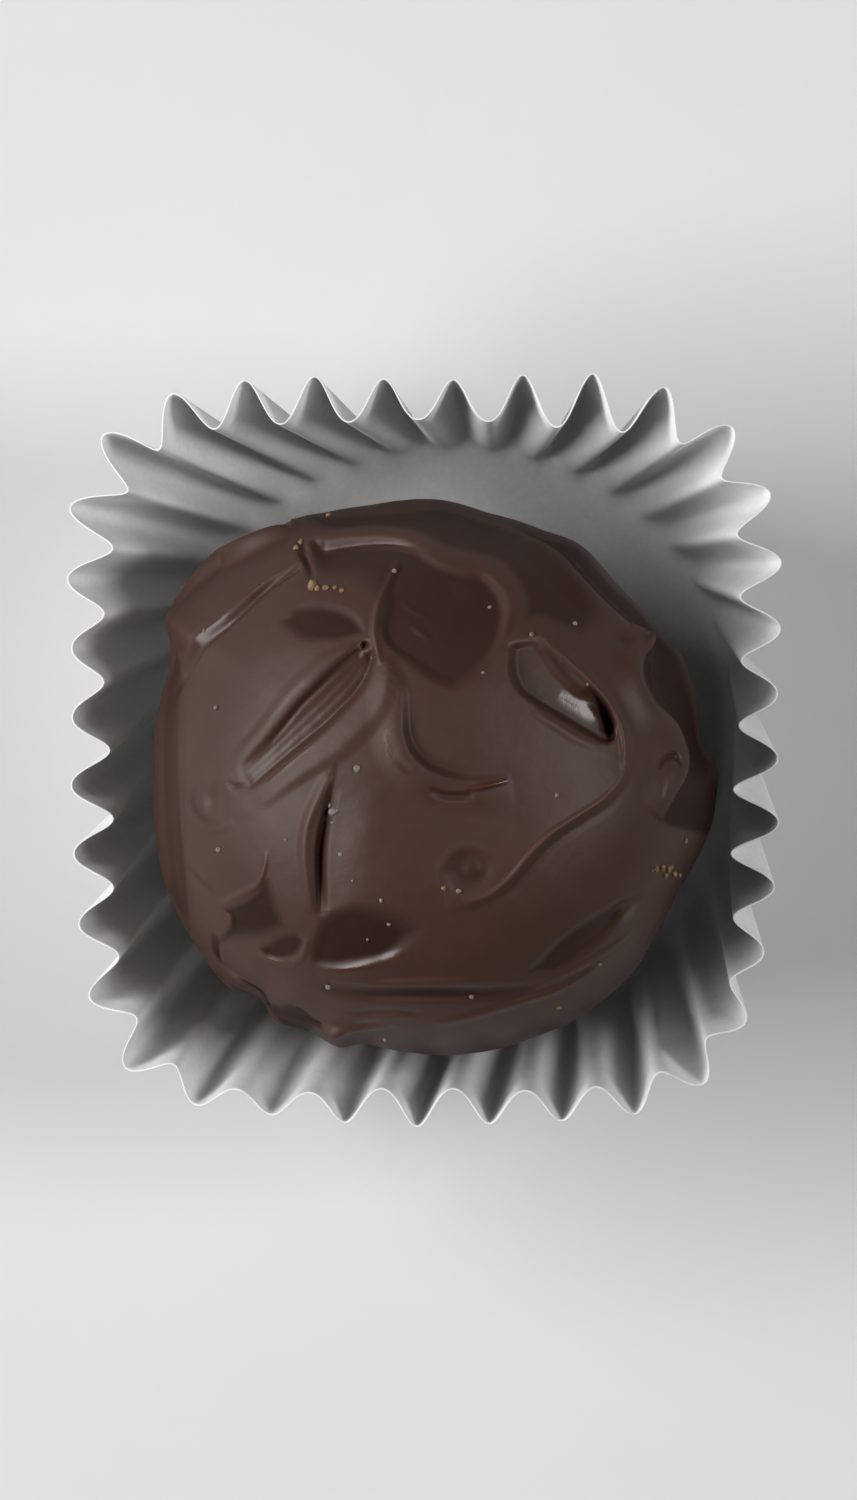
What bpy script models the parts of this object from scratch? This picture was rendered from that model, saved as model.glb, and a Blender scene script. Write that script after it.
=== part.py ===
"""A chocolate truffle standing in its fluted paper case.

The sizes below are in millimetres, and each mesh is turned into metres as it is made.
The origin is the middle of the case's flat underside, and +Z is up.
"""
import math

import bmesh
import bpy
import numpy as np

MM = 0.001

# ---- Driving dimensions of the paper case ----
PAPER = 0.3                      # thickness of the case's solid wall
FLOOR_RADIUS = 15.6              # the round flat floor
WALL_LENGTH = 18.0               # up the slope, from the floor's edge to the cut edge
MOUTH_CENTRE = (-1.2, -0.7)      # the mouth is pushed a little off the floor's middle
MOUTH_HALF = (18.0, 18.9)        # from the mouth's middle to its sides, between the flutes
MOUTH_SQUARENESS = 5.0           # exponent of the mouth's rounded square
MOUTH_TAPER = 0.03               # the mouth is wider at its +Y side by this share
FLUTES = 36
FLUTE_SWING = 1.0                # each flute's swing to either side, at the cut edge
FLUTE_SWING_WAVES = ((5, 0.18, 0.7), (9, 0.14, 2.1))      # turns, share, phase
FLUTE_START = 0.82               # where the first flute's tip lies, in flutes
FLUTE_DRIFT_WAVES = ((1, 0.22), (2, 0.10))                # turns, flutes
FLUTE_DRIFT_TURN = 30 / 36       # where round the mouth the flutes run furthest ahead
FLOOR_LEAN = 0.17                # the flutes lean round towards +Y at the floor, in radians
COLUMNS_PER_FLUTE = 8
WALL_ROWS = 2

# ---- Driving dimensions of the truffle ----
BALL_CENTRE = (-0.7, -2.1, 14.4)
BALL_RADIUS = 15.0               # at its widest
BALL_CROWN = 14.0                # from its centre up to its top
BALL_UNDERSIDE = 14.3            # from its centre down, before the foot is flattened
BALL_FULLNESS = 2.3              # exponent of its side profile: 2 is an ellipsoid
BALL_FOOT = 13.8                 # the flat that it stands on, below its centre
BALL_CUTS = 22                   # cuts across each side of the cube that becomes the ball
BALL_CROWDING = 1.9              # how much finer the faces are on top than underneath

# Swells and flats round the widest part: azimuth and half width in degrees, rise.
EDGE_SWELLS = (
    (147, 17, 1.5), (208, 12, 0.6), (238, 7, 0.5), (251, 6, 0.4), (24, 9, 0.5),
    (45, 18, -0.6), (262, 14, -0.5), (334, 11, -0.5), (118, 10, 0.3), (195, 10, 0.2),
)

# Slow unevenness of the whole ball: rise, wave along X, Y and Z in turns per ball, phase.
BALL_WAVES = (
    (0.16, (0.9, 0.3, 0.4), 0.4), (0.12, (-0.5, 1.3, 0.6), 2.0), (0.08, (1.6, -1.1, 1.2), 4.1),
)

# Tool marks and folds in the coating, each a stroke across the crown seen from above.
# Rise, width on the left of the stroke, width on its right, where along it is strongest,
# and the route as points from the ball's middle: +X is right and +Y is away.
STROKES = (
    # The long dent on the left, its crest, and the ridge beside it
    (-1.35, 2.8, 1.1, 0.45, ((-3.4, 7.2), (-6.0, 5.1), (-8.0, 2.9), (-10.7, 0.0))),
    (0.25, 1.1, 1.1, 0.5, ((-6.4, 6.4), (-8.4, 4.3), (-10.0, 2.5), (-11.4, 0.9))),
    (0.40, 1.1, 1.1, 0.5, ((-3.1, 5.8), (-5.2, 3.3), (-7.8, 0.9), (-9.2, -0.5))),
    (0.35, 1.1, 1.1, 0.5, ((-12.7, 0.2), (-12.7, -1.6), (-11.6, -2.6), (-10.1, -1.9))),
    # The deep dent on the right and the rim round it
    (-1.35, 1.5, 2.4, 0.65, ((4.0, 6.7), (6.2, 5.8), (8.0, 4.5), (9.3, 2.4))),
    (0.40, 1.1, 1.1, 0.5, ((6.6, 6.9), (8.9, 5.4), (10.2, 3.0), (10.1, 0.2))),
    # The wide scoop out of the top, its far rim, and the ridges that cross it
    (-0.95, 2.4, 4.4, 0.5, ((-6.4, 10.4), (-2.0, 10.1), (1.4, 8.8), (3.0, 6.6))),
    (0.40, 1.3, 1.1, 0.5, ((-7.0, 12.5), (-3.0, 13.2), (0.6, 12.4), (3.4, 11.4))),
    (0.50, 1.1, 1.1, 0.6, ((-2.3, 11.4), (-2.9, 9.2), (-3.2, 7.2), (-2.7, 6.0))),
    (0.45, 1.1, 1.1, 0.5, ((2.4, 11.3), (3.9, 10.0), (4.0, 8.3), (3.5, 5.6))),
    # The fold that rolls across the middle
    (0.50, 1.4, 1.4, 0.45, ((-3.0, 6.6), (-1.9, 4.2), (-2.0, 1.9), (-0.4, 0.0), (2.0, -0.5),
                            (4.4, 0.0))),
    # The upright dent left of the middle and its crest
    (-0.95, 1.7, 1.1, 0.5, ((-5.0, 0.8), (-6.0, -2.6), (-6.3, -5.4), (-6.7, -7.6))),
    (0.35, 1.1, 1.1, 0.5, ((-5.9, -0.6), (-7.2, -3.4), (-7.3, -5.6), (-7.0, -7.8))),
    # The small scoops and lips at the near left
    (-0.65, 1.5, 1.5, 0.6, ((-8.3, -4.4), (-9.0, -6.2), (-10.2, -8.0))),
    (0.35, 1.1, 1.1, 0.5, ((-9.3, -9.3), (-8.2, -10.1), (-7.0, -9.8), (-6.7, -8.4))),
    (-0.55, 1.7, 1.7, 0.4, ((-6.2, -8.4), (-4.4, -8.0), (-2.4, -8.2), (-0.4, -8.8))),
    (0.35, 1.1, 1.2, 0.5, ((-6.4, -10.3), (-4.0, -10.0), (-2.4, -9.5), (-0.6, -9.3))),
    # The long crease near the front edge and the ridge under it
    (-0.40, 1.1, 1.1, 0.5, ((-6.2, -11.0), (-2.0, -11.4), (2.0, -11.5), (5.8, -11.9))),
    (0.30, 1.1, 1.1, 0.5, ((1.0, -13.0), (4.4, -12.3), (7.2, -11.1), (9.4, -9.6))),
    # The narrow dent at the near right
    (-0.55, 1.1, 1.7, 0.5, ((4.8, -10.5), (7.0, -8.9), (9.0, -7.5), (11.3, -6.3))),
    # The edge of the thin coat that wanders over the near right
    (0.30, 1.1, 2.6, 0.5, ((10.3, 0.6), (7.6, -2.0), (4.8, -4.4), (2.2, -6.7), (0.4, -6.9))),
    # The groove and the outer roll along the far left shoulder
    (-0.60, 1.1, 1.1, 0.5, ((-13.6, 6.9), (-11.6, 8.9), (-9.6, 10.7), (-7.1, 12.8))),
    (0.50, 1.1, 1.1, 0.5, ((-14.3, 7.9), (-12.2, 10.5), (-10.0, 12.2), (-7.9, 13.2))),
    # The edge of the upper coat down the right side
    (0.40, 1.1, 2.6, 0.5, ((5.6, 13.2), (8.9, 9.9), (11.4, 7.4), (11.2, 5.0), (13.4, 1.4),
                           (12.2, -2.0))),
    # The step down the left edge
    (-0.35, 1.1, 1.1, 0.5, ((-13.5, 0.5), (-13.6, -3.4), (-12.5, -8.0), (-9.6, -11.4),
                            (-6.0, -13.5))),
)
ROUTE_STEPS = 6                  # short lengths between two points of a route


# ---- The paper case ----
def waves(turns, terms):
    """Sum of cosine waves round the mouth, each given as its count, size and phase."""
    return sum(size * np.cos(2 * np.pi * count * turns + phase) for count, size, phase in terms)


def mouth_line(turns):
    """Middle line of the mouth, walked at an even speed, at shares 0 to 1 of the way round."""
    angle = np.linspace(0, 2 * np.pi, 721)
    power = 2 / MOUTH_SQUARENESS
    y = np.sign(np.sin(angle)) * np.abs(np.sin(angle)) ** power
    x = np.sign(np.cos(angle)) * np.abs(np.cos(angle)) ** power * (1 + MOUTH_TAPER * y)
    line = np.column_stack((x, y)) * MOUTH_HALF
    lengths = np.linalg.norm(np.diff(line, axis=0), axis=1)
    walked = np.concatenate(((0,), np.cumsum(lengths))) / lengths.sum()
    return np.column_stack([np.interp(turns % 1, walked, line[:, axis]) for axis in (0, 1)])


def case_rings():
    """Rings of points, in millimetres, from the floor's edge up to the cut edge."""
    flute = np.arange(FLUTES * COLUMNS_PER_FLUTE) / COLUMNS_PER_FLUTE
    drift = [(count, size, -2 * np.pi * count * FLUTE_DRIFT_TURN)
             for count, size in FLUTE_DRIFT_WAVES]
    turns = (flute + FLUTE_START + waves(flute / FLUTES, drift)) / FLUTES
    nudge = 0.001
    along = mouth_line(turns + nudge) - mouth_line(turns - nudge)
    outward = np.column_stack((along[:, 1], -along[:, 0]))
    outward /= np.linalg.norm(outward, axis=1, keepdims=True)
    swing = FLUTE_SWING * np.cos(2 * np.pi * flute) * (1 + waves(turns, FLUTE_SWING_WAVES))
    mouth = mouth_line(turns) + outward * swing[:, None] + MOUTH_CENTRE
    foot_angle = 2 * np.pi * turns + FLOOR_LEAN * np.cos(2 * np.pi * turns)
    foot = FLOOR_RADIUS * np.column_stack((np.cos(foot_angle), np.sin(foot_angle)))
    run = np.linalg.norm(mouth - foot, axis=1)
    height = np.sqrt(WALL_LENGTH ** 2 - run ** 2)
    rings = []
    for row in range(WALL_ROWS + 1):
        share = row / WALL_ROWS
        plan = foot + (mouth - foot) * share
        rings.append(np.column_stack((plan, height * share)))
    return rings


def make_case():
    """The floor and wall as one open sheet, which Solidify thickens inwards."""
    rings = case_rings()
    columns = len(rings[0])
    faces = [tuple(reversed(range(columns)))]
    for row in range(WALL_ROWS):
        for column in range(columns):
            after = (column + 1) % columns
            low, high = row * columns, (row + 1) * columns
            faces.append((low + column, low + after, high + after, high + column))
    mesh = bpy.data.meshes.new("paper_case")
    mesh.from_pydata((np.vstack(rings) * MM).tolist(), [], faces)
    case = add_object("paper_case", mesh)
    thicken = case.modifiers.new("Paper", "SOLIDIFY")
    thicken.thickness = PAPER * MM
    thicken.offset = -1
    return case


# ---- The truffle ----
def smooth_route(points):
    """A Catmull-Rom curve through a stroke's points."""
    points = np.array(points, dtype=float)
    padded = np.vstack((2 * points[0] - points[1], points, 2 * points[-1] - points[-2]))
    share = np.linspace(0, 1, ROUTE_STEPS, endpoint=False)[:, None]
    spans = []
    for before, start, end, after in zip(padded, padded[1:], padded[2:], padded[3:]):
        spans.append(0.5 * (2 * start + (end - before) * share
                            + (2 * before - 5 * start + 4 * end - after) * share ** 2
                            + (3 * start - before - 3 * end + after) * share ** 3))
    return np.vstack(spans + [points[-1:]])


def plain_ball(direction):
    """The smooth ball's surface in each direction from its centre."""
    level = np.hypot(direction[:, 0], direction[:, 1]) / BALL_RADIUS
    depth = np.where(direction[:, 2] > 0, BALL_CROWN, BALL_UNDERSIDE)
    upright = np.abs(direction[:, 2]) / depth
    reach = (level ** BALL_FULLNESS + upright ** BALL_FULLNESS) ** (-1 / BALL_FULLNESS)
    return direction * reach[:, None]


def lift(plan):
    """Puts points of the plan view onto the smooth ball's crown."""
    level = np.minimum(np.hypot(plan[:, 0], plan[:, 1]) / BALL_RADIUS, 0.999)
    height = BALL_CROWN * (1 - level ** BALL_FULLNESS) ** (1 / BALL_FULLNESS)
    return np.column_stack((plan, height))


def stroke_relief(surface, outward, stroke):
    """What one stroke adds to the height at each point of the surface."""
    rise, left_width, right_width, strongest, route = stroke
    line = lift(smooth_route(route))
    closest = np.full(len(surface), np.inf)
    side = np.zeros(len(surface))
    along = np.zeros(len(surface))
    for index, (start, end) in enumerate(zip(line, line[1:])):
        step = end - start
        share = np.clip((surface - start) @ step / (step @ step), 0, 1)
        offset = surface - start - share[:, None] * step
        distance = np.linalg.norm(offset, axis=1)
        nearer = distance < closest
        closest[nearer] = distance[nearer]
        leftward = np.cross(outward, step)
        side[nearer] = np.einsum("ij,ij->i", leftward, offset)[nearer]
        along[nearer] = (index + share[nearer]) / (len(line) - 1)
    width = np.where(side > 0, left_width, right_width)
    bell = (1 + np.cos(np.pi * np.minimum(closest / width, 1))) / 2
    bend = math.log(0.5) / math.log(strongest)
    taper = np.sin(np.pi * np.clip(along, 0.0001, 1) ** bend) ** 0.6
    return rise * bell * taper


def edge_relief(direction):
    """Swells and flats round the widest part of the ball."""
    azimuth = np.degrees(np.arctan2(direction[:, 1], direction[:, 0]))
    relief = np.zeros(len(direction))
    for middle, half_width, rise in EDGE_SWELLS:
        apart = np.abs((azimuth - middle + 180) % 360 - 180) / half_width
        relief += rise * np.exp(-apart ** 2)
    return relief * (1 - direction[:, 2] ** 2) ** 4


def ball_relief(direction, surface):
    """The whole relief of the coating, measured outwards from the smooth ball."""
    relief = edge_relief(direction)
    for rise, wave, phase in BALL_WAVES:
        relief += rise * np.cos(2 * np.pi * direction @ np.array(wave) / 2 + phase)
    for stroke in STROKES:
        relief += stroke_relief(surface, direction, stroke)
    return relief


def ball_directions(cube_points):
    """Spreads a cut cube evenly over a sphere, then crowds its points towards the top."""
    even = np.tan(cube_points * math.pi / 4)
    direction = even / np.linalg.norm(even, axis=1, keepdims=True)
    from_top = np.arccos(np.clip(direction[:, 2], -1, 1))
    drawn_up = 2 * np.arctan2(np.sin(from_top / 2), np.cos(from_top / 2) * BALL_CROWDING)
    azimuth = np.arctan2(direction[:, 1], direction[:, 0])
    level = np.sin(drawn_up)
    return np.column_stack((level * np.cos(azimuth), level * np.sin(azimuth), np.cos(drawn_up)))


def make_truffle():
    """A cut cube blown up into the ball, with its relief and a flat foot."""
    mesh = bpy.data.meshes.new("truffle")
    shell = bmesh.new()
    bmesh.ops.create_cube(shell, size=2)
    bmesh.ops.subdivide_edges(shell, edges=shell.edges, cuts=BALL_CUTS, use_grid_fill=True)
    shell.to_mesh(mesh)
    shell.free()
    points = np.empty(len(mesh.vertices) * 3, dtype=np.float32)
    mesh.vertices.foreach_get("co", points)
    direction = ball_directions(points.reshape(-1, 3).astype(float))
    surface = plain_ball(direction)
    surface += direction * ball_relief(direction, surface)[:, None]
    surface[:, 2] = np.maximum(surface[:, 2], -BALL_FOOT)
    mesh.vertices.foreach_set("co", (surface * MM).ravel())
    truffle = add_object("truffle", mesh)
    truffle.location = [value * MM for value in BALL_CENTRE]
    truffle.data.shade_smooth()
    return truffle


# ---- Objects and materials ----
def add_object(name, mesh):
    """Puts a mesh into the scene as an object of the same name."""
    mesh.validate()
    item = bpy.data.objects.new(name, mesh)
    bpy.context.scene.collection.objects.link(item)
    return item


def set_material(item, name, colour, roughness):
    """Gives an object its own Principled material."""
    material = bpy.data.materials.new(name)
    material.use_nodes = True
    shader = material.node_tree.nodes["Principled BSDF"]
    shader.inputs["Base Color"].default_value = (*colour, 1)
    shader.inputs["Roughness"].default_value = roughness
    shader.inputs["Metallic"].default_value = 0
    item.data.materials.append(material)


for leftover in list(bpy.data.objects):
    bpy.data.objects.remove(leftover)

set_material(make_case(), "greaseproof_paper", (0.62, 0.62, 0.61), 0.65)
set_material(make_truffle(), "dark_chocolate", (0.055, 0.027, 0.018), 0.40)
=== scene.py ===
# %% [markdown]
# # A chocolate truffle in its paper case
# The object is one hand-finished truffle, about 30 mm across, standing in the fluted paper case
# that it is sold in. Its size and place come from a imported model, which is loaded first and never
# moved. This file then makes the surfaces that a viewer sees: the coating with its dents and
# folds, the thin pleated paper, the crumbs that stuck to the wet coating, and the light.
# %% Load the frame
import math

import bmesh
import bpy
import numpy as np
from mathutils import Matrix, Vector, noise


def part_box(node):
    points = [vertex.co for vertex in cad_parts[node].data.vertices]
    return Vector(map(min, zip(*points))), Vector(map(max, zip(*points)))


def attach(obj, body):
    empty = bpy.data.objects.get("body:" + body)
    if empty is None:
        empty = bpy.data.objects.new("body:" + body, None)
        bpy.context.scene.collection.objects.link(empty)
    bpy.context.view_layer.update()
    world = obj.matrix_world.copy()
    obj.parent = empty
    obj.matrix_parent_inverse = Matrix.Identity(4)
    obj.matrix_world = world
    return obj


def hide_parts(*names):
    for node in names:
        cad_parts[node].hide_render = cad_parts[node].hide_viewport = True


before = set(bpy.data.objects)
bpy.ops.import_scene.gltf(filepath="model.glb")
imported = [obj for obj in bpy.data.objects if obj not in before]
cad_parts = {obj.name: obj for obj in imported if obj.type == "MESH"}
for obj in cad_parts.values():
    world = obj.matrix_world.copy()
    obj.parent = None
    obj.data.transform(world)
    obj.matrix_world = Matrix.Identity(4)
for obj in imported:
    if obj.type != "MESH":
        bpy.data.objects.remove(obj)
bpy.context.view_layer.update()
MM = 0.001
ball_low, ball_high = [np.array(corner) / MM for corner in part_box("truffle")]
case_low, case_high = [np.array(corner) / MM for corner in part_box("paper_case")]
print("truffle", (ball_high - ball_low).round(1), "mm, case", (case_high - case_low).round(1), "mm")

# %% [markdown]
# ## Camera
# The truffle is looked at from almost straight above and from far away, so its sides hardly
# show. A long lens gives that flat view. The camera stands a little right of the object and
# beyond it, and is turned by two degrees to bring the object to the middle of the frame.
# %% Camera
CAMERA_FROM_BALL = Vector((19.1, 20.9, 770.0))      # from the middle of the ball, in millimetres
CAMERA_LENS = 345
BALL_MIDDLE = Vector((-0.7, -2.1, ball_low[2] + 13.8))
AIM_HEIGHT = 9.0


def add_camera():
    """A long lens high above the object."""
    camera = bpy.data.objects.new("camera", bpy.data.cameras.new("camera"))
    camera.data.lens = CAMERA_LENS
    camera.location = (BALL_MIDDLE + CAMERA_FROM_BALL) * MM
    aim = (Vector(case_low) + Vector(case_high)) / 2
    aim.z = AIM_HEIGHT
    back = (camera.location - aim * MM).normalized()
    right = Vector((0, 1, 0)).cross(back).normalized()
    turn = Matrix((right, back.cross(right), back)).transposed()
    camera.rotation_euler = turn.to_euler()
    bpy.context.scene.collection.objects.link(camera)
    bpy.context.scene.camera = camera
    return camera


print("camera at", [round(value, 3) for value in add_camera().location], "m")

# %% [markdown]
# ## Light
# Two soft lamps stand to the left and the right, one either side of the camera. Nothing shines
# from straight above, so what faces the lamps is light, and scoops that face the camera stay
# dark, with painted shade on the chocolate deepening them. This is what makes the folds of dark
# chocolate readable. The left lamp is the larger one.
# The right lamp is small, so it shows only as glints. Both stand a little beyond the object, so
# the near side of the case is lit as well. A weak even fill does the rest.
# %% Two soft lamps and a weak fill
LAMP_DISTANCE = 600.0                # millimetres from the object
LAMPS = (      # name, azimuth, degrees from straight above, size in metres, radiance
    ("lamp_left", 174, 52, (0.26, 0.56), 12.2),
    ("lamp_right", 6, 46, (0.20, 0.22), 15.0),
)
FILL = 0.055


def add_lamp(name, azimuth, tilt, size, radiance):
    """A soft rectangular lamp, aimed at the object."""
    lamp = bpy.data.objects.new(name, bpy.data.lights.new(name, "AREA"))
    lamp.data.shape = "RECTANGLE"
    lamp.data.size, lamp.data.size_y = size
    lamp.data.energy = radiance * math.pi * size[0] * size[1]
    lamp.rotation_euler = (0, math.radians(tilt), math.radians(azimuth))
    away = lamp.rotation_euler.to_matrix() @ Vector((0, 0, LAMP_DISTANCE))
    lamp.location = (Vector((0, 0, AIM_HEIGHT)) + away) * MM
    bpy.context.scene.collection.objects.link(lamp)


def add_fill():
    """An even, faint grey light from all round."""
    world = bpy.data.worlds.new("studio")
    world.use_nodes = True
    world.node_tree.nodes["Background"].inputs["Color"].default_value = (1, 1, 1, 1)
    world.node_tree.nodes["Background"].inputs["Strength"].default_value = FILL
    bpy.context.scene.world = world


for lamp_settings in LAMPS:
    add_lamp(*lamp_settings)
    print(lamp_settings[0], lamp_settings[2], "degrees from straight above")
add_fill()
bpy.context.scene.view_settings.view_transform = "Standard"

# %% [markdown]
# ## A shared effect: uneven colour
# Chocolate, paper and nut crumbs are never one even colour. One node group makes the mottling
# for all of them. It mixes a coarse and a fine noise and puts out a value between 0 and 1.
# %% Node group: mottling


def add_node(tree, kind, **settings):
    """A node with some of its settings or input sockets filled in."""
    node = tree.nodes.new(kind)
    for name, value in settings.items():
        if hasattr(node, name):
            setattr(node, name, value)
        else:
            node.inputs[name].default_value = value
    return node


def make_mottle_group():
    """Inputs: size of the coarse blotches and of the fine grain. Outputs: blotch and grain."""
    tree = bpy.data.node_groups.new("mottle", "ShaderNodeTree")
    for name, value in (("Blotch Scale", 300.0), ("Grain Scale", 3000.0), ("Contrast", 1.0)):
        socket = tree.interface.new_socket(name, in_out="INPUT", socket_type="NodeSocketFloat")
        socket.default_value = value
    for name in ("Blotch", "Grain"):
        tree.interface.new_socket(name, in_out="OUTPUT", socket_type="NodeSocketFloat")
    inputs = add_node(tree, "NodeGroupInput")
    outputs = add_node(tree, "NodeGroupOutput")
    place = add_node(tree, "ShaderNodeTexCoord")
    for out, scale, detail in (("Blotch", "Blotch Scale", 4.0), ("Grain", "Grain Scale", 2.0)):
        cloud = add_node(tree, "ShaderNodeTexNoise", Detail=detail, Roughness=0.6)
        tree.links.new(place.outputs["Object"], cloud.inputs["Vector"])
        tree.links.new(inputs.outputs[scale], cloud.inputs["Scale"])
        centred = add_node(tree, "ShaderNodeMath", operation="SUBTRACT")
        tree.links.new(cloud.outputs["Fac"], centred.inputs[0])
        centred.inputs[1].default_value = 0.5
        spread = add_node(tree, "ShaderNodeMath", operation="MULTIPLY_ADD", use_clamp=True)
        tree.links.new(centred.outputs[0], spread.inputs[0])
        tree.links.new(inputs.outputs["Contrast"], spread.inputs[1])
        spread.inputs[2].default_value = 0.5
        tree.links.new(spread.outputs[0], outputs.inputs[out])
    return tree


mottle_group = make_mottle_group()
print("node group", mottle_group.name, "made")

# %% [markdown]
# ## The truffle: a fine ball
# The ball could be a UV sphere, but that crowds its points at two poles. A cut cube blown up
# into a ball spreads them evenly. Its points are then drawn up towards the crown, where the
# folds are, so that the finest marks get the finest mesh and the hidden underside the coarsest.
# %% A fine ball, finest on top
BALL_RADIUS = 15.0               # at its widest, in millimetres
BALL_CROWN = 14.0                # from its middle up to its top
BALL_UNDERSIDE = 14.3
BALL_FULLNESS = 2.3              # exponent of its side profile: 2 is an ellipsoid
BALL_FOOT = 13.8                 # the flat that it stands on, below its middle
BALL_CUTS = 126
BALL_CROWDING = 1.9


def cube_mesh(name, cuts):
    """A cube from -1 to 1 whose sides are cut into small squares."""
    mesh = bpy.data.meshes.new(name)
    shell = bmesh.new()
    bmesh.ops.create_cube(shell, size=2)
    bmesh.ops.subdivide_edges(shell, edges=shell.edges, cuts=cuts, use_grid_fill=True)
    shell.to_mesh(mesh)
    shell.free()
    return mesh


def read_points(mesh):
    """The mesh's points as rows of x, y and z."""
    flat = np.empty(len(mesh.vertices) * 3)
    mesh.vertices.foreach_get("co", flat)
    return flat.reshape(-1, 3)


def ball_directions(cube_points):
    """Spreads the cube's points over a sphere, then crowds them towards the top."""
    even = np.tan(cube_points * math.pi / 4)
    even /= np.linalg.norm(even, axis=1, keepdims=True)
    from_top = np.arccos(np.clip(even[:, 2], -1, 1))
    drawn_up = 2 * np.arctan2(np.sin(from_top / 2), np.cos(from_top / 2) * BALL_CROWDING)
    azimuth = np.arctan2(even[:, 1], even[:, 0])
    level = np.sin(drawn_up)
    return np.column_stack((level * np.cos(azimuth), level * np.sin(azimuth), np.cos(drawn_up)))


def plain_ball(direction):
    """The smooth ball's surface in each direction from its middle."""
    level = np.hypot(direction[:, 0], direction[:, 1]) / BALL_RADIUS
    depth = np.where(direction[:, 2] > 0, BALL_CROWN, BALL_UNDERSIDE)
    upright = np.abs(direction[:, 2]) / depth
    reach = (level ** BALL_FULLNESS + upright ** BALL_FULLNESS) ** (-1 / BALL_FULLNESS)
    return direction * reach[:, None]


def laying_directions(direction):
    """Which way relief is laid on: straight up on the crown, outward at the sides."""
    upright = np.clip((direction[:, 2] - 0.15) / 0.5, 0, 1)
    upright = upright ** 2 * (3 - 2 * upright)
    laid = direction * np.column_stack((1 - upright, 1 - upright, np.ones(len(direction))))
    return laid / np.linalg.norm(laid, axis=1, keepdims=True)


truffle_mesh = cube_mesh("truffle_coating", BALL_CUTS)
outward = ball_directions(read_points(truffle_mesh))
surface = plain_ball(outward)
relief = np.zeros(len(surface))      # what the coating adds at each point, in millimetres
shine = np.zeros(len(surface))       # 0 satin to 1 glossy
painted_shade = np.zeros(len(surface))  # 1 where painted shade darkens the coating
print(len(surface), "points on the ball")

# %% [markdown]
# ## Strokes
# A confectioner's fingers and fork leave long marks in the wet coating: dents, ridges, rolls and
# edges. Each is made here as a stroke. It follows a route over the crown, given as the camera
# sees it, and adds a smooth swell or dent to the surface. Its two sides may have different
# widths, so that a narrow side makes a steep wall and a wide side a gentle slope.
# %% Stroke tools
ROUTE_STEPS = 6                      # short lengths between two points of a route


def smooth_route(points):
    """A Catmull-Rom curve through a stroke's points."""
    points = np.array(points, dtype=float)
    padded = np.vstack((2 * points[0] - points[1], points, 2 * points[-1] - points[-2]))
    share = np.linspace(0, 1, ROUTE_STEPS, endpoint=False)[:, None]
    spans = []
    for before, start, end, after in zip(padded, padded[1:], padded[2:], padded[3:]):
        spans.append(0.5 * (2 * start + (end - before) * share
                            + (2 * before - 5 * start + 4 * end - after) * share ** 2
                            + (3 * start - before - 3 * end + after) * share ** 3))
    return np.vstack(spans + [points[-1:]])


def lift(seen):
    """Puts points, as the camera sees them, onto the smooth ball's crown."""
    eye = np.array(CAMERA_FROM_BALL)
    plan = seen
    for _ in range(4):
        level = np.minimum(np.hypot(plan[:, 0], plan[:, 1]) / BALL_RADIUS, 0.999)
        height = BALL_CROWN * (1 - level ** BALL_FULLNESS) ** (1 / BALL_FULLNESS)
        plan = seen + (eye[:2] - seen) * (height / eye[2])[:, None]
    return np.column_stack((plan, height))


def follow(line, near):
    """Distance from a line to each of these points, its side (+ left), and how far along."""
    closest = np.full(len(near), np.inf)
    side = np.zeros(len(near))
    along = np.zeros(len(near))
    for index, (start, end) in enumerate(zip(line, line[1:])):
        step = end - start
        offset = surface[near] - start
        share = np.clip(offset @ step / (step @ step), 0, 1)
        offset -= share[:, None] * step
        distance = np.linalg.norm(offset, axis=1)
        nearer = distance < closest
        closest[nearer] = distance[nearer]
        leftward = np.cross(outward[near][nearer], step)
        side[nearer] = np.einsum("ij,ij->i", leftward, offset[nearer])
        along[nearer] = (index + share[nearer]) / (len(line) - 1)
    return closest, side, along


def bell(distance, width):
    """1 on the line, falling smoothly to 0 at this width."""
    return (1 + np.cos(np.pi * np.minimum(np.abs(distance) / width, 1))) / 2


def stroke(rise, left, right, *route, peak=0.5, blunt=0.6, gloss=0.0, area_shade=0.0, shade=0.0):
    """Adds a swell (or, below zero, a dent) along a route, left and right wide on its sides.

    peak says where along it is strongest, blunt how bluntly it ends, and gloss its shine. The
    last two say how much painted shade darkens its left side past the line, and how much
    painted shade lies along the line itself.
    """
    line = lift(smooth_route(route))
    reach = max(left, right)
    inside = (surface > line.min(axis=0) - reach) & (surface < line.max(axis=0) + reach)
    near = np.flatnonzero(inside.all(axis=1))
    distance, side, along = follow(line, near)
    width = np.where(side > 0, left, right)
    bend = math.log(0.5) / math.log(peak)
    taper = np.sin(np.pi * np.clip(along, 0.0001, 1) ** bend) ** blunt
    strength = bell(distance, width) * taper
    relief[near] += rise * strength
    shine[near] = np.maximum(shine[near], gloss * np.minimum(2 * strength, 1))
    painted_shade[near] = np.maximum(painted_shade[near], shade * strength)
    if area_shade:
        past_edge = np.clip(distance / 0.3, 0, 1) * (side > 0) * np.minimum(3 * strength, 1)
        painted_shade[near] = np.maximum(painted_shade[near], area_shade * past_edge)


def ring(centre, radius, count=12, start=0.0, turns=1.0):
    """Points of a round route, or of part of one, starting at this angle in turns."""
    angles = 2 * np.pi * (start + turns * np.arange(count + 1) / count)
    return [(centre[0] + radius * math.cos(angle), centre[1] + radius * math.sin(angle))
            for angle in angles]


print("strokes are smoothed in", ROUTE_STEPS, "steps between points")

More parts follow.
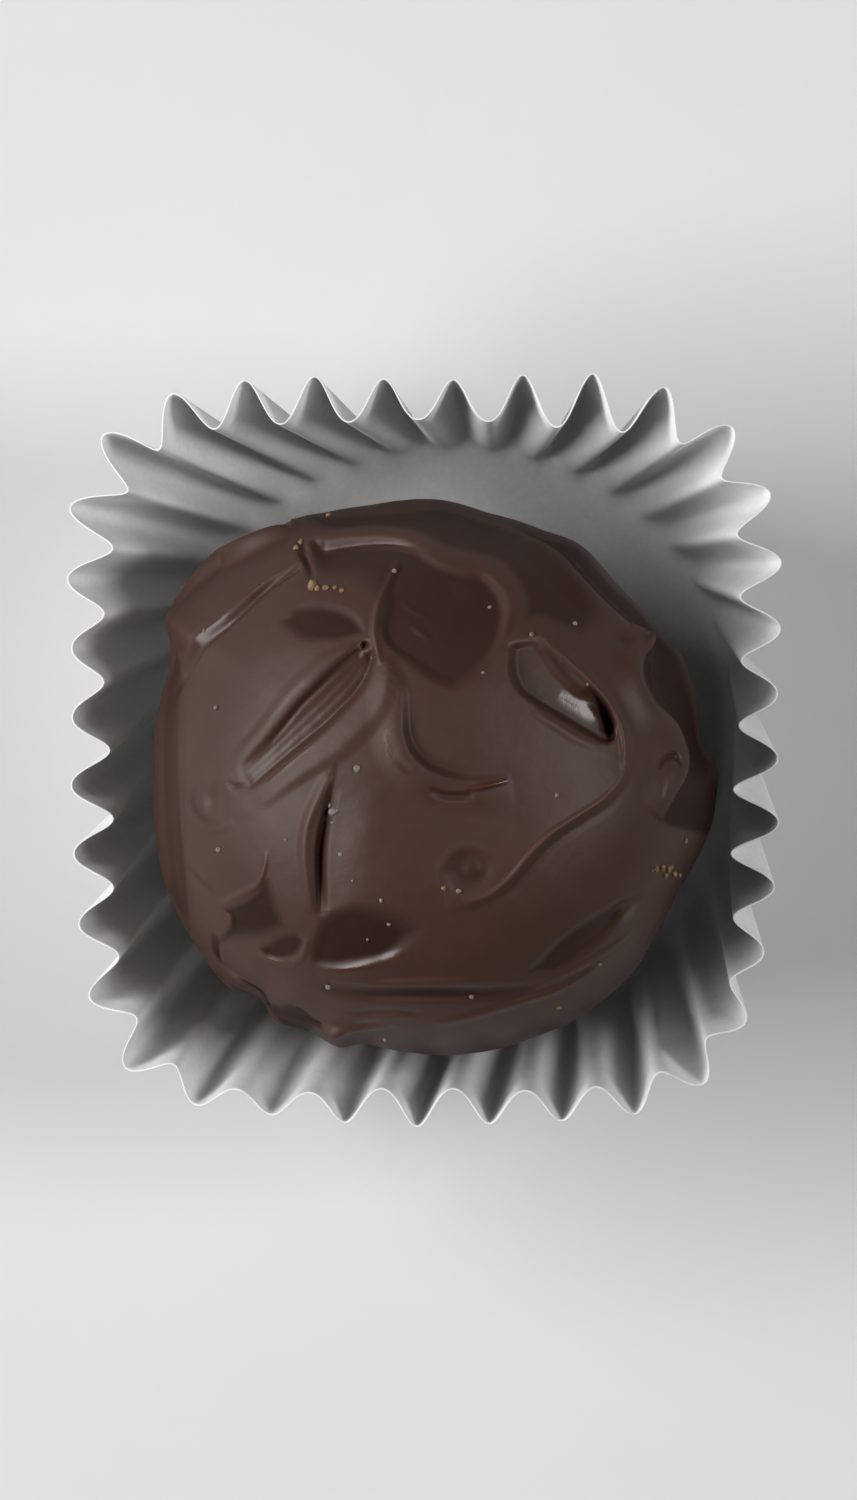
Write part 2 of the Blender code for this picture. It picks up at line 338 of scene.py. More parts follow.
# %% [markdown]
# A stroke has one simple section. A dent that a tine left needs more: a wall, a floor, a rim. A
# band lies between two edges, and its section is a curve drawn across it, from -1 at the right
# edge to +1 at the left edge. A hollow is an area of any outline that was taken out or scraped
# thin; the width of its sloping side can change along the outline. A patch is a plain round or
# oval dent or swell.
# %% Band, hollow and patch tools
BAND_STEPS = 30


def curve_through(knots, at):
    """A smooth curve through (place, value) knots, level at its highest and lowest ones."""
    places, values = np.array(knots, dtype=float).T
    rates = np.diff(values) / np.diff(places)
    slopes = np.zeros(len(places))
    onward = np.flatnonzero(rates[:-1] * rates[1:] > 0)
    slopes[onward + 1] = (2 * rates[onward] * rates[onward + 1]
                          / (rates[onward] + rates[onward + 1]))
    span = np.clip(np.searchsorted(places, at) - 1, 0, len(places) - 2)
    width = np.diff(places)[span]
    share = np.clip((at - places[span]) / width, 0, 1)
    ease = share ** 2 * (3 - 2 * share)
    return (values[span] * (1 - ease) + values[span + 1] * ease
            + width * share * (1 - share) * ((1 - share) * slopes[span]
                                             - share * slopes[span + 1]))


def even_route(points):
    """The smooth route, cut into steps of one length."""
    line = smooth_route(points)
    lengths = np.linalg.norm(np.diff(line, axis=0), axis=1)
    walked = np.concatenate(((0,), np.cumsum(lengths)))
    at = np.linspace(0, walked[-1], BAND_STEPS)
    return np.column_stack([np.interp(at, walked, line[:, axis]) for axis in (0, 1)])


def points_around(line, reach):
    """Numbers of the ball's points that lie in the box of a line, let out by this reach."""
    inside = (surface > line.min(axis=0) - reach) & (surface < line.max(axis=0) + reach)
    return np.flatnonzero(inside.all(axis=1))


def band(across, along, left_edge, right_edge, gloss=0.0, lines=None):
    """Adds a strip with this section (place, millimetres) and strength (share, factor).

    gloss is its shine. lines gives drag lines: height, gap, and their lowest and highest place.
    """
    left_line, right_line = even_route(left_edge), even_route(right_edge)
    middle = lift((left_line + right_line) / 2)
    half = np.linalg.norm(lift(left_line) - lift(right_line), axis=1) / 2
    near = points_around(middle, half.max() * max(abs(across[0][0]), abs(across[-1][0])))
    distance, side, place = follow(middle, near)
    half_here = np.maximum(np.interp(place, np.linspace(0, 1, BAND_STEPS), half), 0.05)
    over = distance * np.sign(side) / half_here
    strength = curve_through(along, place)
    relief[near] += curve_through(across, over) * strength
    on_floor = bell(over, 1.0) ** 0.5
    shine[near] = np.maximum(shine[near], gloss * on_floor * np.clip(strength, 0, 1))
    if lines:
        height, gap, lowest, highest = lines
        drag = bell(over - (lowest + highest) / 2, (highest - lowest) / 2)
        relief[near] += height * np.cos(2 * np.pi * over * half.mean() / gap) * drag * strength


def is_inside(outline, places):
    """Whether places seen from above lie inside a closed outline."""
    inside = np.zeros(len(places), dtype=bool)
    for start, end in zip(outline, np.roll(outline, -1, axis=0)):
        crosses = (start[1] > places[:, 1]) != (end[1] > places[:, 1])
        rise = end[1] - start[1] or 1.0
        beyond = start[0] + (places[:, 1] - start[1]) * (end[0] - start[0]) / rise
        inside ^= crosses & (places[:, 0] < beyond)
    return inside


def share_of_side(line, widths, near):
    """0 on a closed outline, rising to 1 where its sloping side has ended."""
    share = np.ones(len(near))
    for start, end, width, next_width in zip(line, line[1:], widths, widths[1:]):
        step = end - start
        offset = surface[near] - start
        place = np.clip(offset @ step / (step @ step), 0, 1)
        distance = np.linalg.norm(offset - place[:, None] * step, axis=1)
        share = np.minimum(share, distance / (width + place * (next_width - width)))
    return share ** 2 * (3 - 2 * share)


def hollow(depth, *outline, area_shade=0.0, gloss=0.0, fall=(0.0, 0.0)):
    """Sinks the area inside a closed outline of points (x, y, width of the sloping side).

    The first keyword says how much painted shade darkens its floor, gloss its shine. fall makes
    the floor deeper to the right and away, in millimetres for each millimetre.
    """
    closed = smooth_route(outline + outline[:2])[ROUTE_STEPS // 2:-ROUTE_STEPS // 2]
    line = lift(closed[:, :2])
    near = points_around(line, 0.1)
    near = near[is_inside(line[:, :2], surface[near, :2]) & (outward[near, 2] > 0)]
    share = share_of_side(line, closed[:, 2], near)
    falling = (surface[near, :2] - line[:, :2].mean(axis=0)) @ np.array(fall)
    relief[near] -= np.maximum(depth + falling, 0) * share
    shine[near] = np.maximum(shine[near], gloss * share)
    painted_shade[near] = np.maximum(painted_shade[near], area_shade * share)


def patch(rise, centre, length, width=None, turn=0.0, gloss=0.0, area_shade=0.0):
    """Adds a round or oval swell, or a dent. turn is its long side's angle in degrees, and the last
    keyword paints shade over it.
    """
    middle = lift(np.array([centre]))[0]
    offset = surface - middle
    turn = math.radians(turn)
    onward = offset[:, 0] * math.cos(turn) + offset[:, 1] * math.sin(turn)
    sideways = offset[:, 1] * math.cos(turn) - offset[:, 0] * math.sin(turn)
    fade = bell(np.sqrt((onward / length) ** 2 + (sideways / (width or length)) ** 2
                        + (offset[:, 2] / max(length, width or 0)) ** 2), 1.0)
    relief[:] += rise * fade
    shine[:] = np.maximum(shine, gloss * fade)
    painted_shade[:] = np.maximum(painted_shade, area_shade * fade)


print("bands are cut into", BAND_STEPS, "steps")

# %% [markdown]
# ## The big form
# No hand-rolled ball is round. Its widest part reaches further on some sides than on others, and
# three slow waves run through the whole of it.
# %% Reach of the widest part, and slow waves
EDGE_REACH = (                   # azimuth in degrees, reach from the middle in millimetres
    (1, 15.15), (9, 14.4), (20, 14.75), (26, 14.8), (34, 14.35), (45, 14.25), (59, 14.75),
    (68, 14.5), (77, 14.5), (90, 14.95), (102, 15.05), (112, 15.4), (118, 15.75), (125, 15.9),
    (135, 16.1), (143, 16.5), (148.5, 16.85), (153, 15.9), (158, 15.35), (168, 15.25),
    (180, 15.05), (194, 15.3), (205, 15.55), (216, 15.6), (225, 15.55), (231, 15.0),
    (237, 15.5), (244, 15.1), (250, 15.3), (256, 14.65), (266, 14.75), (278, 14.85),
    (290, 14.85), (303, 14.95), (315, 14.9), (326, 14.5), (336, 14.35), (345, 14.8),
    (352, 15.1),
)
EDGE_SOFTNESS = 4                # how fast the reach fades above and below
BALL_WAVES = (                   # rise, wave along X, Y and Z in turns per ball, phase
    (0.16, (0.9, 0.3, 0.4), 0.4), (0.12, (-0.5, 1.3, 0.6), 2.0), (0.08, (1.6, -1.1, 1.2), 4.1),
)


def shape_edge():
    """Lets the ball reach further or less far, by azimuth, at its widest part."""
    azimuth = np.degrees(np.arctan2(outward[:, 1], outward[:, 0])) % 360
    knots = EDGE_REACH[-2:] + EDGE_REACH + EDGE_REACH[:2]
    turns = [-360] * 2 + [0] * len(EDGE_REACH) + [360] * 2
    knots = [(angle + turn, reach - BALL_RADIUS) for (angle, reach), turn in zip(knots, turns)]
    level = (1 - outward[:, 2] ** 2) ** EDGE_SOFTNESS
    relief[:] += curve_through(knots, azimuth) * level


def shape_waves():
    """Slow unevenness of the whole ball, kept off its widest part."""
    for rise, wave, phase in BALL_WAVES:
        height = rise * np.cos(np.pi * outward @ np.array(wave) + phase)
        relief[:] += height * outward[:, 2] ** 2


shape_edge()
shape_waves()
print("the big form adds", relief.min().round(2), "to", relief.max().round(2), "mm")

# %% [markdown]
# ## The long dent on the left
# A fork tine was drawn down the left of the crown. It left a narrow steep wall on the outer side,
# a broad floor with fine drag lines that rises towards the middle, and a soft ridge where the
# coating was pushed up. The tine stopped in a small crater.
# %% The long dent on the left
band(((-2.0, 0.0), (-1.35, 0.10), (-1.0, 0.03), (-0.5, -0.30), (-0.1, -0.46), (0.4, -0.56),
      (0.70, -0.62), (0.86, -0.20), (1.05, 0.02), (1.4, 0.10), (1.9, 0.16), (2.6, 0.0)),
     ((0.0, 0.0), (0.07, 0.9), (0.35, 1.1), (0.7, 1.0), (0.92, 0.6), (1.0, 0.1)),
     ((-3.9, 7.45), (-5.0, 6.5), (-5.9, 5.7), (-6.7, 4.95), (-7.5, 4.15), (-8.25, 3.3),
      (-9.05, 2.35), (-9.9, 1.45), (-10.9, 0.5)),
     ((-3.2, 6.9), (-3.35, 5.6), (-3.9, 4.5), (-4.9, 3.4), (-6.0, 2.4), (-7.1, 1.55),
      (-8.2, 0.65), (-9.2, -0.2), (-10.0, -0.8)),
     gloss=0.45, lines=(0.012, 0.44, -0.6, 0.8))
# Painted shade lies along the foot of the outer wall, in the small hole at its top and round the
# crater.
stroke(-0.10, 0.26, 0.26, (-3.85, 7.0), (-4.85, 6.2), (-5.7, 5.4), (-6.4, 4.7), (-7.0, 4.15),
       (-7.6, 3.45), (-8.2, 2.7), (-8.9, 1.9), blunt=0.3, shade=1.0)
stroke(0.0, 0.45, 0.40, (-4.1, 7.1), (-5.0, 6.35), (-5.85, 5.55), (-6.55, 4.85), (-7.2, 4.2),
       (-7.9, 3.3), (-8.6, 2.4), blunt=0.3, peak=0.4, shade=0.85)
stroke(0.0, 0.5, 0.4, (-6.7, 5.5), (-7.8, 4.5), (-8.8, 3.6), (-9.8, 2.6), (-10.8, 1.5), gloss=0.35)
stroke(0.0, 0.30, 0.30, (-6.5, 1.95), (-7.3, 1.35), (-8.1, 0.65), (-9.2, -0.35), gloss=0.7)
patch(-0.45, (-3.75, 7.15), 0.35, area_shade=1.0)
patch(0.10, (-3.8, 6.6), 0.35, gloss=0.6)
patch(-0.28, (-11.8, -1.2), 1.4, 1.2, turn=60, gloss=0.3)
stroke(0.11, 0.4, 0.4, *ring((-11.8, -1.2), 1.5, start=0.32, turns=0.55))
stroke(0.0, 0.4, 0.4, *ring((-11.8, -1.2), 1.15, start=0.4, turns=0.4), shade=0.5)
stroke(-0.14, 0.25, 0.2, (-11.2, -0.2), (-10.7, -0.45), (-10.0, -0.35), shade=0.5)
print("left dent cut, deepest", relief.min().round(2), "mm")

# %% [markdown]
# ## The deep dent on the right
# The second tine went in deeper. The floor slides down to the right under a raised rim, and the
# steep end is nearly black, from its depth and from painted shade.
# %% The deep dent on the right
hollow(0.62, (3.8, 6.3, 0.65), (3.95, 7.2, 0.6), (4.9, 7.5, 0.55), (5.6, 7.4, 0.6),
       (6.3, 6.8, 0.8), (7.0, 6.0, 1.0), (7.8, 5.25, 1.0), (8.6, 4.45, 0.7), (9.2, 3.6, 0.45),
       (9.65, 2.7, 0.15), (9.65, 2.05, 0.15), (9.1, 1.85, 0.2), (8.3, 2.15, 0.35),
       (7.3, 2.7, 0.4), (6.3, 3.3, 0.4), (5.3, 3.9, 0.4), (4.5, 4.5, 0.45), (3.95, 5.3, 0.6),
       area_shade=0.15, fall=(-0.10, -0.20))
stroke(-1.00, 0.34, 0.80, (8.0, 4.95), (8.8, 4.2), (9.25, 3.5), (9.45, 2.8), (9.3, 2.25),
       blunt=0.7, peak=0.62)
stroke(0.0, 0.6, 0.95, (6.6, 6.0), (7.7, 5.2), (8.6, 4.45), (9.2, 3.6), (9.4, 2.8), (9.2, 2.2),
       blunt=0.5, peak=0.65, shade=1.0)
stroke(0.0, 0.7, 0.7, (5.2, 7.1), (6.2, 6.5), (7.1, 5.7), (8.0, 5.0), shade=0.7)
stroke(0.0, 0.7, 0.8, (6.7, 4.6), (7.4, 4.15), (8.1, 3.7), (8.7, 3.3), gloss=0.9, blunt=0.4)
for offset in (-0.30, 0.0, 0.30, 0.60):
    stroke(0.020, 0.13, 0.13, (5.4, 4.65 - offset), (6.8, 4.05 - offset), (8.4, 3.2 - offset))
stroke(0.30, 0.8, 0.35, (6.4, 7.2), (7.3, 6.2), (8.2, 5.35), (9.0, 4.5), (9.6, 3.6),
       (10.05, 2.6), (10.2, 1.5), (10.15, 0.6), blunt=0.4)
stroke(0.12, 0.3, 0.2, (5.0, 7.6), (5.7, 7.6), (6.3, 7.0), (6.8, 6.3))
stroke(0.10, 0.4, 0.3, (8.9, 1.55), (7.6, 2.15), (6.3, 2.95), (5.2, 3.6))
print("right dent cut, deepest", relief.min().round(2), "mm")

# %% [markdown]
# ## The scoop, the ridge and the fold
# A wide shallow scoop takes the far half of the crown. Its far wall is short and glossy, and its
# floor falls to the right as far as a raised rim. A thin ridge crosses it, thickens into a soft
# roll, and turns right across the middle of the ball to end in a sharp lip.
# %% The scoop, the ridge and the fold
# Painted shade darkens the scoop's floor, a dimple left of the ridge and the lines beside the fold.
hollow(0.44, (-6.7, 12.5, 0.9), (-4.6, 12.95, 0.9), (-2.6, 13.05, 0.9), (-1.1, 12.75, 0.9),
       (0.2, 11.9, 1.1), (1.6, 11.4, 1.2), (2.7, 11.1, 1.0), (3.5, 10.3, 0.8), (3.9, 9.2, 0.6),
       (3.8, 8.0, 0.5), (3.4, 6.8, 0.6), (2.8, 5.8, 0.8), (1.9, 4.95, 0.9), (1.0, 4.6, 0.9),
       (0.0, 4.95, 0.8), (-0.9, 5.6, 0.7), (-1.9, 6.4, 0.5), (-2.75, 7.2, 0.4),
       (-3.1, 8.3, 0.6), (-3.3, 9.5, 1.2), (-4.3, 10.0, 2.0), (-5.4, 10.3, 2.0),
       (-6.5, 10.9, 1.2), area_shade=0.65, fall=(-0.035, 0.02))
stroke(0.06, 0.9, 0.6, (-6.9, 12.85), (-5.0, 13.15), (-2.8, 13.25), (-1.1, 12.95), (0.2, 12.2),
       (1.5, 11.7), (2.6, 11.4))
stroke(0.0, 0.55, 0.55, (-6.9, 12.1), (-5.2, 12.4), (-3.4, 12.55), (-1.9, 12.45), (-0.7, 12.1),
       blunt=0.3, gloss=0.65)
stroke(0.16, 1.0, 0.4, (2.0, 11.4), (3.0, 11.0), (3.8, 10.2), (4.1, 9.3), (4.05, 8.2),
       (3.85, 7.2))
patch(0.0, (4.0, 8.2), 1.0, 0.4, turn=80, gloss=0.8)
hollow(0.16, (-8.4, 8.3, 0.9), (-7.4, 9.4, 0.9), (-5.7, 9.6, 0.9), (-4.2, 9.0, 0.7),
       (-3.7, 7.9, 0.4), (-4.6, 7.5, 0.35), (-5.7, 7.3, 0.5), (-7.2, 7.3, 0.8), area_shade=0.85)
patch(0.05, (1.4, 10.1), 1.3, 0.6, turn=-40, gloss=0.25)
stroke(0.24, 0.26, 0.24, (-2.0, 11.6), (-2.45, 10.5), (-2.9, 9.6), (-3.2, 8.6), (-3.25, 7.8),
       (-3.1, 7.0), (-2.95, 6.2), blunt=0.25, peak=0.4)
stroke(0.05, 0.3, 0.2, (-1.9, 9.5), (-1.2, 9.0), (-0.3, 8.5))
stroke(0.06, 0.3, 0.2, (-1.3, 8.2), (-0.8, 7.8), (-0.2, 7.4))
stroke(0.36, 0.60, 1.9, (-2.6, 6.6), (-2.2, 5.6), (-1.9, 4.6), (-1.85, 3.4), (-1.8, 2.4),
       (-1.4, 1.3), (-0.6, 0.5), (0.4, 0.05), (1.6, -0.25), (2.9, -0.3), (4.1, -0.1), blunt=0.6)
stroke(-0.08, 0.9, 0.8, (-1.4, 4.4), (-1.3, 3.2), (-1.1, 2.1), (-0.6, 1.1), (0.1, 0.5),
       (1.0, 0.15), (1.9, 0.0), shade=0.5)
stroke(0.0, 0.3, 0.3, (-2.55, 2.7), (-2.45, 1.8), (-2.1, 0.9), (-1.3, 0.2), gloss=0.8)
stroke(-0.20, 0.35, 0.35, (-0.3, -0.6), (0.5, -0.9), (1.4, -0.95), (2.1, -0.9), shade=0.5)
stroke(0.16, 0.20, 0.18, (1.6, -0.5), (2.3, -0.5), (3.1, -0.35), (4.0, -0.1), gloss=1.0)
print("relief now", relief.min().round(2), "to", relief.max().round(2), "mm")

# %% [markdown]
# ## The upright dent and the torn places at the near left
# A finger lifted the coating off in short strokes here. Each left a scoop with a thin lip.
# %% The upright dent and the near left
# Painted shade darkens the upright dent's core and the floors of the small scoops here.
stroke(0.22, 0.40, 0.55, (-5.6, 0.2), (-6.15, -0.9), (-6.8, -2.5), (-6.95, -4.1), (-6.8, -5.8),
       (-6.6, -7.2), blunt=0.5)
stroke(-0.32, 2.6, 0.34, (-5.1, 0.8), (-5.6, -1.0), (-5.95, -2.6), (-6.15, -3.9),
       (-6.15, -5.4), (-6.1, -7.0), blunt=0.7)
stroke(-0.34, 0.55, 0.34, (-5.4, -0.4), (-5.8, -1.8), (-6.1, -3.2), (-6.2, -4.6),
       (-6.15, -6.0), (-6.1, -7.4), blunt=0.6, peak=0.58)
stroke(0.0, 0.50, 0.55, (-5.4, -0.5), (-5.8, -1.9), (-6.1, -3.2), (-6.15, -4.6), (-6.1, -6.0),
       (-6.1, -7.8), blunt=0.5, peak=0.58, shade=1.0)
hollow(0.17, (-11.3, -6.95, 0.45), (-10.3, -6.5, 0.45), (-9.6, -6.05, 0.45),
       (-9.1, -5.3, 0.5), (-8.7, -5.5, 0.6), (-8.3, -6.4, 0.9), (-7.8, -7.5, 1.1),
       (-7.6, -8.3, 1.2), (-8.6, -8.8, 1.2), (-9.8, -9.0, 1.2), (-11.6, -8.9, 0.7),
       (-11.15, -8.1, 0.4), (-10.95, -7.6, 0.4), area_shade=1.0, fall=(-0.03, -0.02))
stroke(0.05, 0.3, 0.3, (-9.9, -6.5), (-9.0, -6.9), (-8.0, -7.5))
stroke(0.17, 0.20, 0.24, (-9.0, -3.9), (-9.15, -4.9), (-9.5, -5.7), (-10.3, -6.2),
       (-11.4, -6.65), gloss=0.4, blunt=0.4, peak=0.6)
hollow(0.20, (-9.4, -9.0, 0.5), (-8.6, -8.5, 0.5), (-7.5, -8.2, 0.5), (-6.9, -8.8, 0.35),
       (-7.3, -9.5, 0.3), (-8.0, -9.75, 0.3), (-8.9, -9.6, 0.3), area_shade=0.8)
stroke(0.16, 0.20, 0.20, (-9.4, -9.35), (-8.7, -9.75), (-8.0, -9.95), (-7.35, -9.8),
       (-7.0, -9.3), (-6.85, -8.6), gloss=0.4, blunt=0.4)
stroke(-0.10, 0.22, 0.3, (-13.3, -4.6), (-12.4, -5.6), (-11.5, -6.3), shade=0.3)
hollow(0.24, (-6.75, -8.9, 0.8), (-6.3, -7.7, 0.8), (-5.4, -6.9, 0.9), (-4.2, -6.55, 1.0),
       (-3.0, -6.6, 1.4), (-1.6, -6.9, 1.7), (-0.4, -7.8, 1.8), (-0.7, -8.8, 1.4),
       (-2.2, -9.7, 0.8), (-3.6, -10.1, 0.8), (-5.2, -10.3, 0.8), (-6.6, -10.0, 0.8), area_shade=0.9,
       fall=(0.01, -0.03))
stroke(0.14, 0.6, 1.0, (-6.4, -10.35), (-4.8, -10.3), (-3.0, -10.0), (-1.2, -9.5))
stroke(0.0, 0.45, 0.40, (-5.9, -10.35), (-4.4, -10.15), (-2.9, -9.75), (-1.6, -9.2), gloss=0.9,
       peak=0.65)
print("near left shaped")

# %% [markdown]
# ## The near edge
# Towards the front the coating ran down in long low folds.
# %% Creases and folds along the near edge
# Painted shade darkens the long crease, the small holes and the scoops along the near edge.
stroke(-0.40, 0.6, 0.9, (-6.0, -11.3), (-3.0, -11.5), (0.0, -11.5), (2.4, -11.5), (5.4, -11.2),
       shade=0.8)
stroke(0.14, 0.4, 0.5, (-5.6, -10.9), (-2.6, -11.0), (0.4, -10.9), (2.8, -10.9))
stroke(0.24, 0.6, 0.5, (0.0, -13.2), (2.0, -12.8), (4.0, -12.2), (6.5, -11.4), (8.0, -10.6),
       (9.2, -9.7))
stroke(0.26, 0.6, 0.5, (-8.0, -12.6), (-6.0, -13.2), (-4.0, -13.4), (-2.0, -13.2))
stroke(-0.20, 0.4, 0.4, (-4.6, -12.6), (-2.6, -12.5), (-0.6, -12.6))
stroke(0.0, 0.4, 0.4, (-4.2, -13.2), (-3.0, -13.1), (-2.0, -13.2), gloss=0.6)
patch(0.35, (-5.2, -13.4), 0.9)
patch(-0.40, (-6.15, -13.1), 0.5, area_shade=0.8)
hollow(0.12, (-9.0, -12.0, 0.5), (-7.8, -11.8, 0.7), (-6.7, -12.4, 0.5), (-6.2, -13.3, 0.4),
       (-7.2, -13.7, 0.4), (-8.4, -13.2, 0.4), area_shade=0.9)
hollow(0.26, (4.9, -10.4, 0.6), (6.0, -9.1, 0.5), (7.0, -8.2, 0.5), (8.2, -7.4, 0.5),
       (9.4, -6.75, 0.5), (10.1, -6.9, 0.6), (9.9, -7.8, 0.8),
       (9.2, -8.7, 1.0), (7.8, -9.8, 1.0), (6.3, -10.6, 0.8), area_shade=0.6)
stroke(-0.14, 0.25, 0.25, (9.2, -7.0), (10.2, -6.55), (11.1, -6.3), shade=0.4)
patch(0.12, (10.35, -7.2), 1.0, 0.6, turn=35, gloss=0.9)
stroke(0.14, 0.4, 0.3, (10.6, -8.2), (9.3, -9.2), (7.8, -10.1), (6.0, -10.9))
print("near edge shaped")

# %% [markdown]
# ## Edges of the last thin coat
# The truffle was dipped more than once. The last coat ends in thin stepped edges: one wanders
# over the near right and encloses a small round mark, one comes down the right side with painted
# shade on the lower coat beyond it, and one follows the left shoulder.
# %% Coat edges, the round mark and the left shoulder
RIGHT_COAT_EDGE = ((5.4, 13.0), (6.8, 11.8), (8.0, 10.5), (9.2, 9.3), (10.3, 8.3), (11.5, 7.5),
                   (11.1, 6.5), (11.1, 5.4), (11.8, 4.0), (12.9, 2.9), (13.45, 1.5),
                   (13.3, 0.2), (12.7, -1.0), (12.1, -2.2))
stroke(0.17, 0.5, 2.2, (10.3, 1.0), (10.0, 0.0), (9.1, -1.05), (7.6, -2.05), (6.2, -3.0),
       (5.1, -4.1), (4.1, -5.3), (3.0, -6.2), (1.9, -6.7), (0.6, -6.9), blunt=0.5)
stroke(0.14, 0.26, 0.26, (10.3, 0.9), (10.0, 0.0), (9.1, -1.05), (7.6, -2.05), (6.2, -3.0),
       (5.1, -4.1), (4.1, -5.3), (3.0, -6.2), (1.6, -6.65), blunt=0.4)
stroke(-0.06, 0.4, 0.4, (10.5, -0.3), (9.4, -1.5), (7.9, -2.5), (6.5, -3.45), (5.4, -4.6),
       (4.4, -5.8), (3.2, -6.7))
patch(-0.26, (1.75, -5.1), 1.7, area_shade=0.6)
stroke(0.05, 0.4, 0.4, *ring((1.8, -5.1), 1.4, start=0.1, turns=0.75))
patch(0.22, (2.0, -4.9), 0.85, gloss=0.35)
stroke(0.60, 0.4, 2.4, *RIGHT_COAT_EDGE, blunt=0.35)
stroke(0.38, 0.4, 0.4, (10.4, 8.3), (11.5, 7.6), (11.3, 6.6), blunt=0.5)
stroke(-0.34, 2.0, 0.35, (7.6, 11.9), (9.4, 10.0), (10.9, 8.7), (12.1, 7.3), (11.9, 5.4),
       (12.8, 3.9), (13.9, 2.2), (14.0, 0.4), blunt=0.4)
# Painted shade covers the lower coat beyond the right edge, the far side of the crown and a band
# along the left edge.
stroke(0.0, 5.5, 0.1, *RIGHT_COAT_EDGE, (12.6, -2.7), (13.8, -3.0), (14.9, -3.2), blunt=0.2,
       area_shade=1.0)
hollow(0.06, (-6.6, 13.6, 0.7), (-3.0, 14.2, 0.7), (0.8, 14.5, 0.8), (4.0, 13.7, 1.0),
       (6.6, 12.2, 1.2), (8.2, 10.6, 1.4), (9.2, 8.8, 1.4), (8.2, 7.6, 1.0), (6.9, 7.9, 0.8),
       (5.6, 8.4, 0.8), (4.7, 8.3, 0.6), (4.7, 9.8, 0.5), (3.6, 11.4, 0.6), (2.2, 11.9, 0.6),
       (0.6, 12.3, 0.6), (-1.2, 13.2, 0.6), (-3.4, 13.4, 0.5), (-5.6, 13.1, 0.5), area_shade=0.65)
stroke(0.0, 3.0, 0.1, (-12.8, -7.6), (-13.5, -3.4), (-13.7, 0.0), (-13.6, 3.4), (-13.2, 6.6),
       blunt=0.25, area_shade=0.6)
patch(-0.12, (10.2, 7.5), 1.1, 0.9, area_shade=0.4)
stroke(-0.30, 0.3, 0.3, (11.9, 0.5), (12.3, 1.05), (12.9, 1.15), (13.1, 0.6), shade=0.7)
stroke(0.10, 0.3, 0.3, (12.7, 0.6), (12.5, -0.3), (12.3, -1.3))
stroke(-0.50, 0.85, 0.60, (-13.7, 4.6), (-13.0, 5.8), (-11.9, 7.1), (-10.7, 8.3), (-9.4, 9.6),
       (-8.3, 10.5), (-7.1, 11.3), blunt=0.35)
stroke(0.92, 0.95, 1.00, (-14.7, 7.2), (-13.8, 8.1), (-12.6, 9.1), (-11.4, 10.1), (-10.2, 11.0),
       (-8.8, 11.95), (-7.4, 12.8), blunt=0.35, peak=0.6)
stroke(0.0, 0.7, 0.6, (-12.9, 6.4), (-12.1, 7.3), (-11.3, 8.0), (-10.5, 8.7), gloss=0.6)
stroke(0.0, 0.8, 0.7, (-9.95, 9.4), (-9.05, 10.1), (-8.05, 10.8), (-6.95, 11.4), gloss=0.65)
# Painted shade lies in the notch at the far left and, lower down, in the crease along the near left
# edge.
stroke(-0.40, 0.32, 0.32, (-7.0, 12.5), (-6.95, 11.8), (-6.75, 11.3), (-6.55, 10.6), shade=1.0)
stroke(0.18, 0.35, 0.25, (-7.4, 14.3), (-7.3, 13.5), (-7.15, 12.7), shade=0.5)
stroke(-0.16, 1.2, 0.5, (-13.3, 6.4), (-13.6, 3.4), (-13.7, 0.0), (-13.6, -3.4),
       (-12.9, -7.3), (-12.0, -8.8))
stroke(-0.46, 0.5, 0.38, (-11.6, -8.3), (-11.5, -9.2), (-10.9, -10.0), (-10.0, -10.8),
       (-9.2, -11.6), (-8.7, -12.3), (-7.6, -12.9), blunt=0.4, shade=1.0)
stroke(0.20, 0.5, 0.5, (-11.9, -9.2), (-10.7, -10.6), (-9.4, -11.9))
stroke(0.0, 0.3, 0.3, (-11.5, -9.9), (-10.9, -10.5), (-10.2, -11.1), gloss=0.7)
print("relief", relief.min().round(2), "to", relief.max().round(2), "mm")

# %% [markdown]
# ## Fine unevenness, and the finished mesh
# Set chocolate has a skin that is very slightly wavy. Without it every highlight would be as
# clean as on plastic. The waves are real relief, a few hundredths of a millimetre high.
# %% Skin of the chocolate, finished mesh
SKIN_WAVES = ((0.5, 0.035), (1.4, 0.012))        # waves per millimetre, height


def skin_height(points):
    """Small soft waves from smooth noise, the same on every run."""
    height = np.zeros(len(points))
    for pace, size in SKIN_WAVES:
        height += size * np.array([noise.noise(Vector(point * pace)) for point in points])
    return height


def write_points(mesh, points):
    """Gives the mesh its points, turned from millimetres into metres."""
    mesh.vertices.foreach_set("co", (points * MM).ravel())
    mesh.update()


def write_mask(mesh, name, values):
    """Keeps one number for each point, for the material to read."""
    mask = mesh.attributes.new(name, "FLOAT", "POINT")
    mask.data.foreach_set("value", values.astype(np.float32))


def measure_bending(mesh, points):
    """How strongly the surface bends at each point: below zero on crests, above in creases."""
    edges = np.empty(len(mesh.edges) * 2, dtype=np.int32)
    mesh.edges.foreach_get("vertices", edges)
    one, other = edges.reshape(-1, 2).T
    count = np.bincount(one, minlength=len(points)) + np.bincount(other, minlength=len(points))
    towards = np.zeros_like(points)
    for axis in range(3):
        gap = points[other, axis] - points[one, axis]
        towards[:, axis] += np.bincount(one, gap, len(points))
        towards[:, axis] -= np.bincount(other, gap, len(points))
    length = np.linalg.norm(points[other] - points[one], axis=1)
    mean_length = (np.bincount(one, length, len(points))
                   + np.bincount(other, length, len(points))) / count
    normals = np.empty(len(points) * 3, dtype=np.float32)
    mesh.vertex_normals.foreach_get("vector", normals)
    normals = normals.reshape(-1, 3)
    return np.einsum("ij,ij->i", towards / count[:, None], normals) / mean_length ** 2


